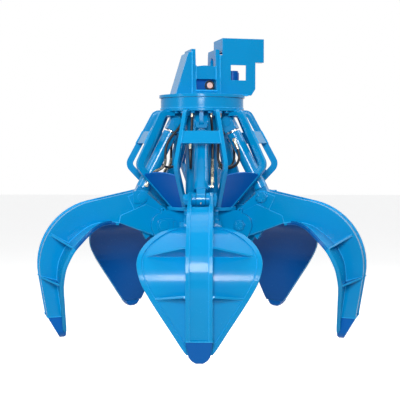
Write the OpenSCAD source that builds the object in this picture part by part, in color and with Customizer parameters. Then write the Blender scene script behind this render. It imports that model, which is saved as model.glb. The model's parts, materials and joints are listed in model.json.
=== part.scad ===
// Hydraulic orange-peel grab: five curved tines on a cage, each closed by its own cylinder,
// hung from one pin and turned by a motor on a toothed slewing ring. Places are worked out
// with the tine tips at height zero, and the whole then hangs with the origin at the
// middle of the hanger pin.

/* [Layout] */
// Height of the hanger pin above the tine tips, tines open
hanger_h = 1825; // [1800:5:1900]
// Distance of each tine hinge from the slewing axis
hinge_r = 305; // [300:1:320]
// Height of the tine hinges above the tips
hinge_h = 735; // [725:1:740]
// Distance from a tine hinge out to its tip
tine_reach = 680; // [675:1:700]
// Distance of each rod pin from the slewing axis
rod_pin_r = 187; // [184:1:192]
// Height of the rod pins above the tips
rod_pin_h = 1427; // [1422:1:1430]
// Barrel pin, outwards from the tine hinge
lever_out = 145; // [142:1:148]
// Barrel pin, upwards from the tine hinge
lever_up = 190; // [187:1:194]

/* [Tine beam] */
// Width of the box beam over its side plates
beam_w = 154; // [148:1:156]
// Thickness of the beam's side plates
side_t = 20; // [16:1:23]
// Thickness of the cover and bottom plates
cover_t = 12; // [8:1:14]
// How far the cover lies below the edges of the side plates
cover_recess = 8; // [4:1:12]
// Radius of the beam's back
back_r = 430; // [420:1:436]
// Radius of the beam's end round the hinge
hinge_end_r = 90; // [86:1:94]
// Radius of the ears round the barrel pin
ear_r = 46; // [44:1:50]
// Gap between the ears for the barrel's eye
ear_gap = 66; // [64:1:70]
// Height above the tips where the cast tooth begins
tooth_h = 149; // [140:1:160]
// Thickness of the plates doubling the side plates at the pins
doubler_t = 8; // [5:1:9]

/* [Tine shell] */
// Half of the shell's greatest width
shell_half_w = 367; // [355:1:369]
// Thickness of the shell plate
shell_t = 16; // [12:1:18]
// Width of the strip welded along the shell's rim
rim_w = 28; // [20:1:34]
// Thickness of the rim strip
rim_t = 8; // [5:1:12]
// Thickness of the ribs between shell and beam
rib_t = 12; // [8:1:16]

/* [Cylinders] */
// Outer diameter of the barrels
barrel_d = 93; // [90:1:95]
// Bore of the barrels
bore_d = 73; // [68:1:76]
// Diameter of the piston rods
rod_d = 50; // [45:1:52]
// Diameter of the barrel and rod pins
pin_d = 50; // [46:1:52]
// Width of the barrel's eye
eye_w = 57; // [52:1:60]
// Distance from the rod pin down to the barrel's mouth, rod drawn in
mouth_drop = 85; // [82:1:95]
// Width of the rod's fork
fork_w = 76; // [72:1:80]
// Outer radius of the hoses
hose_r = 8.5; // [7.5:0.5:9.5]

/* [Hub] */
// Diameter of the hinge pins
hinge_pin_d = 70; // [64:1:74]
// Thickness of the hub's ears
hub_ear_t = 25; // [20:1:28]
// Radius of the ears' round ends
hub_ear_r = 82; // [78:1:84]
// Depth of the hub below the hinges
hub_drop = 175; // [165:1:185]
// Diameter of the hub's core
hub_core_d = 300; // [290:2:310]
// Height of the hub plate's top above the hinges
hub_plate_rise = 122; // [120:1:126]
// Thickness of the hub plate
hub_plate_t = 22; // [18:1:24]

/* [Cage] */
// Thickness of the cage straps
strap_t = 25; // [20:1:28]
// Depth of the cage straps
strap_depth = 44; // [38:1:48]
// Reach of the straps at their widest bend, along their own plane
strap_reach = 515; // [505:1:525]
// Height of the straps' widest bend above the tips
strap_bend_h = 1134; // [1125:1:1145]
// Thickness of the bands that tie each pair of straps
band_t = 12; // [8:1:16]
// Thickness of the bowl panels
panel_t = 8; // [5:1:10]
// Diameter of the centre column
column_d = 228; // [210:2:232]
// Diameter of the plate on top of the cage
top_plate_d = 570; // [560:2:580]
// Thickness of the plate on top of the cage
top_plate_t = 20; // [16:1:24]

/* [Slewing ring] */
// Diameter of the fixed drum
drum_d = 568; // [562:2:570]
// Height of the drum's lower face above the tips
drum_h = 1517; // [1514:1:1522]
// Height of the drum
drum_rise = 69; // [64:1:74]
// Diameter of the turning flange
flange_d = 588; // [584:2:600]
// Thickness of the turning flange
flange_t = 20; // [16:1:24]
// Teeth of the ring gear
ring_teeth = 64; // [60:4:64]
// Teeth of the drive pinion
pinion_teeth = 10; // [9:1:11]
// Pitch diameter of a gear over its number of teeth
gear_module = 8; // [7.5:0.1:8]

/* [Hanger] */
// Angle of the hanger head about the slewing axis
head_turn = 15; // [0:1:30]
// Diameter of the hanger pin's bore
hanger_d = 80; // [60:1:84]
// Gap between the hanger ears
hanger_gap = 140; // [136:1:150]
// Thickness of the hanger ears
hanger_t = 28; // [22:1:32]
// Depth of the hanger ears at their tops
hanger_depth = 212; // [200:1:220]
// Height of the hanger ears above the middle of the pin
hanger_top = 90; // [80:1:100]

/* [Motor guard] */
// Thickness of the guard's plates
guard_t = 12; // [8:1:14]
// Reach of the guard's upper part from the slewing axis
guard_reach = 408; // [400:1:420]
// Height of the guard's roof above the middle of the hanger pin
guard_top = 166; // [155:1:175]
// Diameter of the slewing motor
motor_d = 92; // [84:1:94]

/* [Hidden] */
SIDES = ["front", "right", "rear_right", "rear_left", "left"];
TINES = 5;
PITCH = 360 / TINES;
FIRST_AZ = -90;
$fn = 48;
bolt_fn = 24;
ring_fn = 96;
arc_steps = 6;
cut = 2;            // overrun of every cut, and sinking of every joined piece
fit = 0.05;         // radial play of a pin in its bore
play = 0.3;         // gap between curved faces of two moving bodies
side_gap = 2;       // play of a fork, eye or beam between its ears
paint = [0.0, 0.56, 0.86];
deep_paint = [0.02, 0.36, 0.72];
steel = [0.62, 0.64, 0.66];
rubber = [0.06, 0.06, 0.07];

// Points and paths
function unit(v) = v / norm(v);
function left_of(v) = [-v[1], v[0]];
function polar(r, a) = [r * cos(a), r * sin(a)];
function mix(a, b, s) = a + (b - a) * s;
function arc(c, r, a0, a1, n) = [for (k = [0:n]) c + polar(r, a0 + (a1 - a0) * k / n)];
function corner_arc(a, b, c, r) =
    let (u = unit(a - b), v = unit(c - b), half = acos(u * v) / 2,
         mid = b + unit(u + v) * r / sin(half),
         p = b + u * r / tan(half) - mid, q = b + v * r / tan(half) - mid,
         a0 = atan2(p[1], p[0]),
         turn = (atan2(q[1], q[0]) - a0 + 540) % 360 - 180)
    arc(mid, r, a0, a0 + turn, arc_steps);
// An open path moved sideways by d to its left, with mitred corners
function moved(p, d) =
    let (n = len(p))
    [for (i = [0:n - 1])
        let (a = max(i, 1), b = min(i + 1, n - 1),
             u = left_of(unit(p[a] - p[a - 1])), v = left_of(unit(p[b] - p[b - 1])))
        p[i] + (u + v) / (1 + u * v) * d];
function reversed(p) = [for (i = [len(p) - 1:-1:0]) p[i]];
// The outline of a strip along a path, from d0 to d1 to its left
function strip(p, d0, d1) = concat(moved(p, d0), reversed(moved(p, d1)));
function spline_point(a, b, c, d, t) =
    (2 * b + (c - a) * t + (2 * a - 5 * b + 4 * c - d) * t * t
     + (3 * b - a - 3 * c + d) * t * t * t) / 2;
function spline(p, n) =
    let (last = len(p) - 1)
    concat([for (i = [0:last - 1]) for (k = [0:n - 1])
        spline_point(p[max(i - 1, 0)], p[i], p[i + 1], p[min(i + 2, last)], k / n)], [p[last]]);
// Direction of the normal of the line that touches two circles
function touch_angle(c1, r1, c2, r2, hand) =
    let (d = c2 - c1) atan2(d[1], d[0]) + hand * acos((r1 - r2) / norm(d));
function running_length(p, i = 0, s = 0) =
    i == len(p) - 1 ? [s] : concat([s], running_length(p, i + 1, s + norm(p[i + 1] - p[i])));

// Frames: a bay looks outwards along one tine, x out, y sideways, z up
module hung() translate([0, 0, -hanger_h]) children();
module bay(i) rotate([0, 0, FIRST_AZ + i * PITCH]) children();
module each_bay() for (i = [0:TINES - 1]) bay(i) children();
module hinge_frame(i) bay(i) translate([hinge_r, 0, hinge_h]) children();
module both_sides() for (s = [0, 1]) mirror([0, s, 0]) children();
// A flat outline drawn in x and z, reaching from y0 to y1
module upright(y0, y1) translate([0, y1, 0]) rotate([90, 0, 0]) linear_extrude(y1 - y0) children();
module cross_pin(d, y0, y1) upright(y0, y1) circle(d = d);
// A solid through a row of rings with the same number of points
module loft(rings) {
    n = len(rings[0]);
    m = len(rings);
    polyhedron(
        points = [for (r = rings) each r],
        faces = concat(
            [[for (k = [0:n - 1]) k]],
            [[for (k = [n - 1:-1:0]) (m - 1) * n + k]],
            [for (i = [0:m - 2]) for (k = [0:n - 1])
                [i * n + k, (i + 1) * n + k, (i + 1) * n + (k + 1) % n, i * n + (k + 1) % n]]),
        convexity = 8);
}

// Tine: every outline is drawn about the hinge, x outwards and y up
tip_drop = -hinge_h;
tooth_y = tooth_h - hinge_h;
lever = [lever_out, lever_up];
half_beam = beam_w / 2;
// Shell line: shares of reach, of hinge height and of the width beyond the beam
shell_shares = [
    [0.434, 0.027, 0], [0.507, 0.037, 0.03], [0.613, 0.036, 0.29], [0.709, 0.012, 0.54],
    [0.787, -0.030, 0.73], [0.860, -0.082, 0.88], [0.935, -0.147, 0.975], [0.982, -0.211, 1],
    [1.021, -0.294, 0.96], [1.038, -0.371, 0.885], [1.043, -0.490, 0.715],
    [1.025, -0.622, 0.51], [1.006, -0.755, 0.30], [0.987, -0.884, 0.10],
    [0.981, -0.939, 0]];
shell_line = spline([for (s = shell_shares)
    [s[0] * tine_reach, s[1] * hinge_h, half_beam + s[2] * (shell_half_w - half_beam)]], 2);
shell_path = [for (p = shell_line) [p[0], p[1]]];
shell_inner = moved(shell_path, -shell_t);
shell_run = running_length(shell_path);
shell_start = shell_path[0];
shell_above_tooth = [for (p = shell_path) if (p[1] > tooth_y) p];
shell_at_tooth = [for (p = shell_path) if (p[1] <= tooth_y) p];
tooth_line_x = lookup(tooth_y, [for (p = reversed(shell_path)) if (p[1] < 0) [p[1], p[0]]]);

back_centre_shares = [0.575, -0.347];
back_centre = [back_centre_shares[0] * tine_reach, back_centre_shares[1] * hinge_h];
back_low_angle = -9;
back_top_angle = touch_angle(lever, ear_r, back_centre, back_r, 1);
lever_angle = touch_angle([0, 0], hinge_end_r, lever, ear_r, 1);
low_angle = touch_angle([0, 0], hinge_end_r, shell_start, 0, -1);
back_low = back_centre + polar(back_r, back_low_angle);
back_end = [back_low[0] + (back_low[1] - tooth_y) * tan(back_low_angle), tooth_y];

beam_outline = concat(
    [back_end], arc(back_centre, back_r, back_low_angle, back_top_angle, 14),
    arc(lever, ear_r, back_top_angle, lever_angle, 9),
    arc([0, 0], hinge_end_r, lever_angle, low_angle + 360, 16),
    shell_above_tooth, [[tooth_line_x, tooth_y]]);
boss_r = 0.69 * hinge_end_r;
cover_path = concat(
    [back_end], arc(back_centre, back_r, back_low_angle, back_top_angle + 5, 14),
    [polar(0.9 * boss_r, 75) + [0, cover_recess]]);
bottom_path = concat(arc([0, 0], hinge_end_r, low_angle - 50, low_angle, 5), [shell_start]);
// Corners of the doubling plates, as shares of the lever out and up
doubler_shares = [[2.03, 0.126], [1.945, 0.363], [0.766, 0.732]];
shield_outer_shares = [1.60, 1.02];
shield_inner_shares = [0.82, 0.82];
shield_low_shares = [1.32, 0.57];
function on_lever(s) = [s[0] * lever_out, s[1] * lever_up];

module beam_bores() {
    reach = half_beam + doubler_t + cut;
    cross_pin(hinge_pin_d + 2 * fit, -reach, reach);
    translate([lever_out, 0, lever_up]) cross_pin(pin_d + 2 * fit, -reach, reach);
}

// Closed box beam: two thick side plates, a sunk cover that runs down to the hinge tube,
// a bottom plate with its closing stop, and the ears with their inner bosses
module tine_beam() {
    inside = half_beam - side_t;
    stop_w = 0.53 * inside;
    p = polar(hinge_end_r, low_angle);
    lift = [0, cover_t / 2];
    color(paint) difference() {
        union() {
            both_sides() {
                upright(inside, half_beam) polygon(beam_outline);
                translate([lever_out, 0, lever_up])
                    upright(ear_gap / 2, inside) circle(r = 0.94 * ear_r);
                upright(half_beam, half_beam + doubler_t) polygon(concat(
                    arc([0, 0], hinge_end_r - doubler_t, lever_angle, low_angle + 360, 16),
                    [for (s = doubler_shares) on_lever(s)]));
                upright(half_beam, half_beam + doubler_t) polygon(concat(
                    [on_lever(shield_outer_shares)],
                    arc(lever, ear_r - doubler_t, 70, 200, 6),
                    [on_lever(shield_inner_shares), on_lever(shield_low_shares)]));
            }
            upright(-inside, inside) circle(r = boss_r);
            upright(-inside, inside) polygon(strip(cover_path, cover_recess, cover_recess + cover_t));
            upright(-inside, inside) polygon(strip(bottom_path, 0, cover_t));
            // Closing stop
            upright(-stop_w, stop_w) polygon([
                mix(p, shell_start, 0.12) + lift, mix(p, shell_start, 0.26) - [0, hinge_end_r / 2],
                mix(p, shell_start, 0.39) + lift]);
        }
        beam_bores();
    }
}

// A tapered rib between the beam's side and the shell: a on the shell, b at the beam's back
module rib(a, b, w) {
    d = b - a;
    translate([a[0], 0, a[1]]) rotate([0, -atan2(d[1], d[0]), 0])
        linear_extrude(rib_t, center = true) polygon([
            [-shell_t / 2, half_beam], [norm(d), half_beam], [norm(d), half_beam + rib_t],
            [rib_t / 2, w], [-shell_t / 2, w]]);
}

// Curved shell plate under the beam, its raised rim and its ribs. A rib's shares are its
// place on the shell, its place at the beam's back and its reach over the shell's width
rib_shares = [[0.9265, -0.154, 1.0956, -0.063, 0.83], [1.0426, -0.479, 1.1956, -0.435, 0.62]];
module tine_shell() {
    n = len(shell_line);
    slope = [for (i = [0:n - 1]) let (a = max(i - 1, 0), b = min(i + 1, n - 1))
        (shell_line[b][2] - shell_line[a][2]) / (shell_run[b] - shell_run[a])];
    sunk = moved(shell_path, -rim_t / 4);
    raised = moved(shell_path, rim_t);
    rim = [for (i = [0:n - 1]) if (shell_line[i][2] > half_beam + rim_t)
        let (out = shell_line[i][2] - rim_t / 5,
             in = max(half_beam, out - rim_w * sqrt(1 + slope[i] * slope[i])))
        [[sunk[i][0], in, sunk[i][1]], [sunk[i][0], out, sunk[i][1]],
         [raised[i][0], out, raised[i][1]], [raised[i][0], in, raised[i][1]]]];
    color(paint) {
        loft([for (i = [0:n - 1]) let (w = shell_line[i][2], p = shell_path[i], q = shell_inner[i])
            [[p[0], -w, p[1]], [q[0], -w, q[1]], [q[0], w, q[1]], [p[0], w, p[1]]]]);
        both_sides() {
            loft(rim);
            for (s = rib_shares)
                rib([s[0] * tine_reach, s[1] * hinge_h], [s[2] * tine_reach, s[3] * hinge_h],
                    mix(half_beam, shell_half_w, s[4]));
        }
    }
}

// Cast tooth under the beam, wrapped round the shell's lower end
tooth_width_shares = [[1, 1], [0.57, 0.91], [0.289, 0.82], [0.134, 0.62], [0.034, 0.39], [0, 0.26]];
toe_share = 0.9706;
heel_share = 1.0147;
module tine_tooth() {
    toe = [toe_share * tine_reach, tip_drop];
    side = concat([back_end, [heel_share * tine_reach, tip_drop], toe,
                   toe + [-0.067, 0.087] * tooth_h, toe + [-0.06, 0.289] * tooth_h],
                  reversed(shell_at_tooth), [[tooth_line_x, tooth_y]]);
    front = [for (s = tooth_width_shares) [s[1] * half_beam, tip_drop + s[0] * tooth_h]];
    color(paint) intersection() {
        upright(-half_beam, half_beam) polygon(side);
        rotate([90, 0, 90]) linear_extrude(2 * tine_reach)
            polygon(concat(front, [for (p = reversed(front)) [-p[0], p[1]]]));
    }
}

// A pin's head: a round plate with one flat side, seated at y = 0 and growing outwards
module flag_head(r, reach, hand) {
    t = 0.3 * r;
    upright(0, t) {
        circle(r = r);
        polygon([[0, -r], [hand * reach, -r], [hand * reach, r], [0, r]]);
    }
    upright(t / 2, 1.5 * t) circle(r = 0.7 * r);
}

// A slotted nut on a pin's end with its split pin, seated at y = 0 and growing outwards
module castle_nut(across) {
    h = 0.3 * across;
    wire = 0.08 * across;
    difference() {
        union() {
            upright(0, h) circle(d = across / cos(30), $fn = 6);
            upright(h / 2, 1.5 * h) circle(r = 0.46 * across);
        }
        for (k = [0:2]) rotate([0, 60 * k, 0])
            translate([-across, 1.05 * h, -wire]) cube([2 * across, h, 2 * wire]);
    }
    upright(0, 1.4 * h) circle(r = 0.36 * across);
    translate([0, 1.25 * h, 0]) {
        rotate([0, 90, 0]) cylinder(d = wire, h = 1.12 * across, center = true, $fn = bolt_fn);
        for (s = [-1, 1]) translate([s * (0.55 * across - wire / 2), 0, -0.3 * across])
            cylinder(d = 0.8 * wire, h = 0.3 * across, $fn = bolt_fn);
    }
}

// The barrel pin's two ends, which stay in the tine's ears: head on one side, nut on the other
module pin_ends() {
    y_in = ear_gap / 2 + side_gap;
    y_out = half_beam + doubler_t;
    color(paint) translate([lever_out, 0, lever_up]) {
        cross_pin(pin_d, y_in, y_out);
        translate([0, y_out, 0]) flag_head(0.8 * pin_d, 1.15 * pin_d, 1);
        mirror([0, 1, 0]) {
            cross_pin(pin_d, y_in, y_out);
            translate([0, y_out, 0]) castle_nut(1.35 * pin_d);
        }
    }
}

// Cylinder: places along its axis, u, are measured from the barrel pin
barrel_pin = [hinge_r + lever_out, hinge_h + lever_up];
rod_pin = [rod_pin_r, rod_pin_h];
pin_gap = norm(rod_pin - barrel_pin);
axis_dir = unit(rod_pin - barrel_pin);
lean = atan2(-axis_dir[0], axis_dir[1]);
mouth_u = pin_gap - mouth_drop;
barrel_foot = 1.3 * barrel_d / 2;
barrel_floor = barrel_foot + 0.32 * barrel_d;
piston_u = barrel_floor + 0.08 * bore_d;
gland_l = 0.38 * barrel_d;
port_r = 0.15 * barrel_d;
port_y = 0.68 * barrel_d;
port_root = (barrel_d + bore_d) / 4;
elbow_y = port_y + hose_r;
elbow_l = 3.2 * hose_r;
low_port_u = barrel_foot + 0.3 * barrel_d;
high_port_u = mouth_u - gland_l - 0.2 * barrel_d;
fork_drop = 1.36 * pin_d;
fork_rise = 0.76 * pin_d;
fork_half = 0.86 * pin_d;
lug_t = 0.56 * pin_d;
lug_r = 0.84 * pin_d;

module cylinder_frame(i) bay(i)
    translate([barrel_pin[0], 0, barrel_pin[1]]) rotate([0, -lean, 0]) children();

// An oil port with its elbow: the elbow points up or down along the barrel
module port(turned) {
    rotate([-90, 0, 0]) translate([0, 0, port_root]) cylinder(r = port_r, h = port_y - port_root);
    translate([0, elbow_y, 0]) {
        rotate([-90, 0, 0]) cylinder(r = 1.1 * hose_r, h = 2.2 * hose_r, center = true, $fn = bolt_fn);
        rotate([0, turned, 90]) cylinder(r = 1.1 * hose_r, h = elbow_l, $fn = bolt_fn);
    }
}

// Barrel with its eye and pressed-in pin, foot, mouth gland and two oil ports
module cylinder_barrel() {
    r = barrel_d / 2;
    core = ear_gap / 2 - side_gap / 2;
    color(paint) difference() {
        union() {
            upright(-eye_w / 2, eye_w / 2) circle(r = 0.9 * pin_d);
            cross_pin(pin_d, -core, core);
            translate([-0.86 * r, -eye_w / 2, 0]) cube([1.72 * r, eye_w, barrel_foot + cut]);
            translate([0, 0, barrel_foot]) cylinder(r = r, h = mouth_u - barrel_foot);
            translate([0, 0, mouth_u - gland_l]) cylinder(r = 1.04 * r, h = 0.8 * gland_l);
            translate([0, 0, low_port_u]) port(0);
            mirror([0, 1, 0]) translate([0, 0, high_port_u]) port(180);
        }
        translate([0, 0, barrel_floor]) cylinder(d = bore_d, h = mouth_u - gland_l - barrel_floor);
        translate([0, 0, barrel_floor + cut]) cylinder(d = rod_d + 2 * fit, h = pin_gap);
    }
}

// Rod with its piston inside the barrel and its fork round the cage's lug
module cylinder_rod() {
    slot = lug_t + side_gap;
    color(steel) {
        translate([0, 0, piston_u]) cylinder(r = bore_d / 2 - play, h = 0.55 * bore_d);
        translate([0, 0, piston_u]) cylinder(d = rod_d, h = pin_gap - fork_drop + cut - piston_u);
    }
    color(paint) difference() {
        union() {
            translate([-fork_half, -fork_w / 2, pin_gap - fork_drop])
                cube([2 * fork_half, fork_w, fork_drop]);
            translate([0, 0, pin_gap]) upright(-fork_w / 2, fork_w / 2) intersection() {
                circle(r = fork_half);
                translate([-fork_half, -fork_half]) square([2 * fork_half, fork_half + fork_rise]);
            }
        }
        translate([-fork_half - cut, -slot / 2, pin_gap - lug_r - 2 * side_gap])
            cube([2 * (fork_half + cut), slot, fork_drop + fork_rise]);
        translate([0, 0, pin_gap]) cross_pin(pin_d + 2 * fit, -fork_w, fork_w);
    }
}

// Hoses from under the top plate to the two ports: their free points are shares of the
// hanger's height, x out, y sideways, z up
high_hose_shares = [
    [0.0805, -0.0362, 0.7726], [0.0781, -0.0384, 0.7123], [0.0767, -0.0395, 0.6521],
    [0.0821, -0.0395, 0.6318], [0.0970, -0.0395, 0.6169], [0.1173, -0.0395, 0.6115],
    [0.1375, -0.0395, 0.6169], [0.1524, -0.0395, 0.6318], [0.1578, -0.0395, 0.6521],
    [0.1542, -0.0395, 0.6784]];
low_hose_shares = [
    [0.0866, 0.0362, 0.7836], [0.1068, 0.0384, 0.7534], [0.1315, 0.0395, 0.7260],
    [0.1490, 0.0400, 0.6948], [0.1534, 0.0400, 0.6630], [0.1534, 0.0400, 0.6411],
    [0.1568, 0.0399, 0.6249], [0.1669, 0.0398, 0.6117], [0.1816, 0.0396, 0.6041],
    [0.1959, 0.0395, 0.5968], [0.2057, 0.0393, 0.5848]];
feed_x_share = 0.0822;
feed_y_share = 0.0340;
function ring_at(p, d) =
    let (a = unit(cross(d, [0, 1, 0])), b = cross(a, d))
    [for (k = [0:7]) p + hose_r * (cos(45 * k) * a + sin(45 * k) * b)];
// way is the direction in which the elbow points away from its port
module hose(free, port_u, hand, way) {
    port = barrel_pin + port_u * axis_dir + (elbow_l + play / 3) * way;
    p = spline(concat(
        [[feed_x_share * hanger_h, hand * feed_y_share * hanger_h, drum_h - top_plate_t - fit]],
        free * hanger_h, [[port[0], hand * elbow_y, port[1]]]), 2);
    n = len(p);
    loft([for (i = [0:n - 1])
        ring_at(p[i], i == 0 ? [0, 0, -1] : i == n - 1 ? [-way[0], 0, -way[1]]
                : unit(p[i + 1] - p[i - 1]))]);
}
module tine_hoses() color(rubber) {
    hose(high_hose_shares, high_port_u, -1, -axis_dir);
    hose(low_hose_shares, low_port_u, 1, axis_dir);
}

// Hub: a pair of ears per bay round a core, fused to one weldment, with keepers for the
// flat pin heads
ear_in = half_beam + doubler_t + side_gap;
ear_out = ear_in + hub_ear_t;
hub_plate_top = hinge_h + hub_plate_rise;
hub_plate_low = hub_plate_top - hub_plate_t;
flag_r = 0.64 * hinge_pin_d;
flag_reach = 0.91 * hinge_pin_d;
horn_r = 0.2 * hub_ear_r;
module hub() color(paint) {
    top = hub_plate_low - hinge_h;
    low_point = [0.15 * hub_ear_r, -hub_drop];
    side_angle = touch_angle([0, 0], hub_ear_r, low_point, 0, 1);
    root = -0.66 * hinge_r;
    settle = 0.02 * hub_ear_r;
    difference() {
        union() {
            each_bay() translate([hinge_r, 0, hinge_h]) both_sides() upright(ear_in, ear_out) {
                polygon(concat([[root, top - settle], [root, settle - hub_drop], low_point],
                               arc([0, 0], hub_ear_r, side_angle, 80, 12),
                               [[hub_ear_r * cos(80), top]]));
                translate([0, top + cut]) circle(r = horn_r);
            }
            each_bay() translate([hinge_r - flag_reach - hub_plate_t - cut, ear_out - cut,
                                  hinge_h - flag_r / 2])
                cube([hub_plate_t, 0.27 * flag_r + cut, flag_r]);
            translate([0, 0, hinge_h - 1.086 * hub_drop])
                cylinder(d = hub_core_d, h = hub_plate_low - hinge_h + 1.086 * hub_drop);
        }
        translate([0, 0, hinge_h - hub_drop]) cylinder(r = hub_core_d / 2 - hub_ear_t, h = hinge_h);
        each_bay() translate([hinge_r, 0, hinge_h]) {
            cross_pin(hinge_pin_d + 2 * fit, -ear_out - cut, ear_out + cut);
            translate([0, 0, top + cut]) cross_pin(0.6 * horn_r, -ear_out - cut, ear_out + cut);
        }
    }
}
module hinge_pins() color(paint) each_bay() translate([hinge_r, 0, hinge_h]) {
    cross_pin(hinge_pin_d, -ear_out, ear_out);
    translate([0, ear_out, 0]) flag_head(flag_r, flag_reach, -1);
}
module hinge_nuts() color(paint) each_bay() translate([hinge_r, -ear_out, hinge_h])
    mirror([0, 1, 0]) castle_nut(0.95 * hinge_pin_d);
// Lobed plate over the ears, slotted for the tines' levers
module hub_plate() color(paint) difference() {
    translate([0, 0, hub_plate_low]) cylinder(r = 0.935 * hinge_r, h = hub_plate_t);
    each_bay() translate([0.69 * hinge_r, -ear_in, hub_plate_low - cut])
        cube([hinge_r, 2 * ear_in, hub_plate_t + 2 * cut]);
}
module centre_column() color(paint) translate([0, 0, hub_plate_top])
    linear_extrude(drum_h - top_plate_t - hub_plate_top) difference() {
        circle(d = column_d);
        circle(r = column_d / 2 - band_t);
    }

// Cage: each bay has two bent straps, drawn in their own leaning planes
strap_turn = 13.1;
strap_lean = 2.06;
module strap_frame() translate([0, ear_in, 0]) rotate([0, 0, strap_turn])
    rotate([strap_lean, 0, 0]) children();
// A point of the strap's outline as seen along the bay
function in_bay(p) = [p[0] * cos(strap_turn) + p[1] * sin(strap_lean) * sin(strap_turn),
                      p[1] * cos(strap_lean)];
strap_top = drum_h - 0.35 * top_plate_t;
shoulder = [0.608 * strap_reach, strap_top];
elbow = [strap_reach, strap_bend_h];
foot = [0.501 * strap_reach, hub_plate_top];
module strap_outline() {
    path = concat([[0.4175 * strap_reach, strap_top]],
                  corner_arc([0, strap_top], shoulder, elbow, 0.117 * strap_reach),
                  corner_arc(shoulder, elbow, foot, 0.136 * strap_reach),
                  [foot + strap_depth * unit(foot - elbow)]);
    polygon(strip(path, 0, -strap_depth));
}
module top_disc() translate([0, 0, drum_h - top_plate_t])
    cylinder(d = top_plate_d, h = top_plate_t);
module cage_straps() color(paint) difference() {
    each_bay() both_sides() strap_frame() upright(-strap_t / 2, strap_t / 2) strap_outline();
    top_disc();
    translate([0, 0, hub_plate_top - hinge_r]) cylinder(r = 1.2 * hinge_r, h = hinge_r);
}
// Everything on one side of a strap: hand -1 is the inside of its bay, 1 the outside
module strap_side(hand) strap_frame()
    translate([-hanger_h, hand > 0 ? strap_t / 2 : -strap_t / 2 - hanger_h, -hanger_h])
        cube([2 * hanger_h, hanger_h, 4 * hanger_h]);
module cage_bands() color(paint) each_bay() intersection() {
    upright(-hinge_r, hinge_r) polygon(strip(
        [mix(in_bay(shoulder), in_bay(elbow), 0.598), mix(in_bay(shoulder), in_bay(elbow), 0.389)],
        0, band_t));
    strap_side(-1);
    mirror([0, 1, 0]) strap_side(-1);
}
module bowl_panels() color(deep_paint) for (i = [0:TINES - 1]) {
    a = [0.909 * strap_reach, 0.957 * strap_bend_h];
    b = [0.5374 * strap_reach, hub_plate_top];
    intersection() {
        bay(i + 0.5) translate([a[0], 0, a[1]]) rotate([0, atan2(b[0] - a[0], b[1] - a[1]), 0])
            rotate([0, 0, 90]) upright(-panel_t, 0) polygon(concat(
                arc([0, 0.782 * strap_reach], 0.8 * strap_reach, -115, -65, 12),
                [[hinge_r, norm(b - a)], [-hinge_r, norm(b - a)]]));
        bay(i) strap_side(1);
        bay(i + 1) mirror([0, 1, 0]) strap_side(1);
    }
}
module rod_lugs() color(paint) each_bay() translate([rod_pin_r, 0, rod_pin_h])
    upright(-lug_t / 2, lug_t / 2) difference() {
        union() {
            circle(r = lug_r);
            translate([-lug_r, 0]) square([2 * lug_r, drum_h - top_plate_t - rod_pin_h]);
        }
        circle(r = pin_d / 2 + fit);
    }
module rod_pins() color(steel) each_bay() translate([rod_pin_r, 0, rod_pin_h]) {
    y = fork_w / 2 + side_gap / 2;
    cross_pin(pin_d, -y, y);
    both_sides() upright(y, y + 0.12 * pin_d) circle(r = 0.64 * pin_d);
}
bolt_d = 0.053 * top_plate_d;
module top_plate_bolts() color(paint) each_bay() for (a = [-30, -13, 13, 30]) rotate([0, 0, a])
    translate([0.439 * top_plate_d, 0, drum_h - top_plate_t - bolt_d / 2])
        cylinder(d = bolt_d, h = bolt_d / 2, $fn = 6);

// Slewing ring: the fixed drum holds the ring gear and the bearing's outer race
drum_top = drum_h + drum_rise;
flange_low = drum_top + side_gap;
flange_top = flange_low + flange_t;
ring_pitch_r = gear_module * ring_teeth / 2;
pinion_pitch_r = gear_module * pinion_teeth / 2;
pinion_x = ring_pitch_r - pinion_pitch_r;
ring_outer_r = ring_pitch_r + 1.75 * gear_module;
gear_h = 0.6 * drum_rise;
backlash = 0.05 * gear_module;
shaft_r = pinion_pitch_r / 2;
union_r = 0.08 * flange_d;
race_r = ring_outer_r - gear_module;
function involute(a) = tan(a) * 180 / PI - a;
// Half of a tooth's angle at radius r, on a wheel with n teeth
function tooth_half(n, r, extra) =
    90 / n + extra / (gear_module * n) * 180 / PI + involute(20)
    - involute(acos(min(1, gear_module * n / 2 * cos(20) / r)));
function flank(n, r, extra, turn, side) = polar(r, turn + side * tooth_half(n, r, extra));
function wheel(n, r_in, r_out, extra) =
    let (r0 = max(gear_module * n / 2 * cos(20), r_in))
    [for (k = [0:n - 1]) let (turn = 360 * k / n) each concat(
        [polar(r_in, turn - tooth_half(n, r0, extra))],
        [for (s = [0:4]) flank(n, mix(r0, r_out, s / 4), extra, turn, -1)],
        [for (s = [4:-1:0]) flank(n, mix(r0, r_out, s / 4), extra, turn, 1)],
        [polar(r_in, turn + tooth_half(n, r0, extra))])];

module head_frame() rotate([0, 0, head_turn]) children();
module ring(r_in, r_out, z0, z1) translate([0, 0, z0]) linear_extrude(z1 - z0) difference() {
    circle(r = r_out, $fn = ring_fn);
    circle(r = r_in, $fn = ring_fn);
}
module slew_drum() color(paint) ring(ring_outer_r, drum_d / 2, drum_h, drum_top);
module ring_gear() color(steel) head_frame() translate([0, 0, drum_h]) linear_extrude(gear_h)
    difference() {
        rotate(-head_turn) circle(r = ring_outer_r, $fn = ring_fn);
        polygon(wheel(ring_teeth, ring_pitch_r - 0.6 * gear_module, ring_pitch_r + gear_module, backlash));
    }
module bearing_outer_race() color(steel) ring(race_r, ring_outer_r, drum_h + gear_h, drum_top);
module bearing_inner_race() color(steel)
    ring(race_r - 2 * gear_module, race_r - play, drum_h + gear_h + 2 * side_gap, flange_low);
module top_plate() color(paint) difference() {
    top_disc();
    translate([0, 0, drum_h - top_plate_t - cut])
        cylinder(r = union_r + play, h = top_plate_t + 2 * cut);
}
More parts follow.
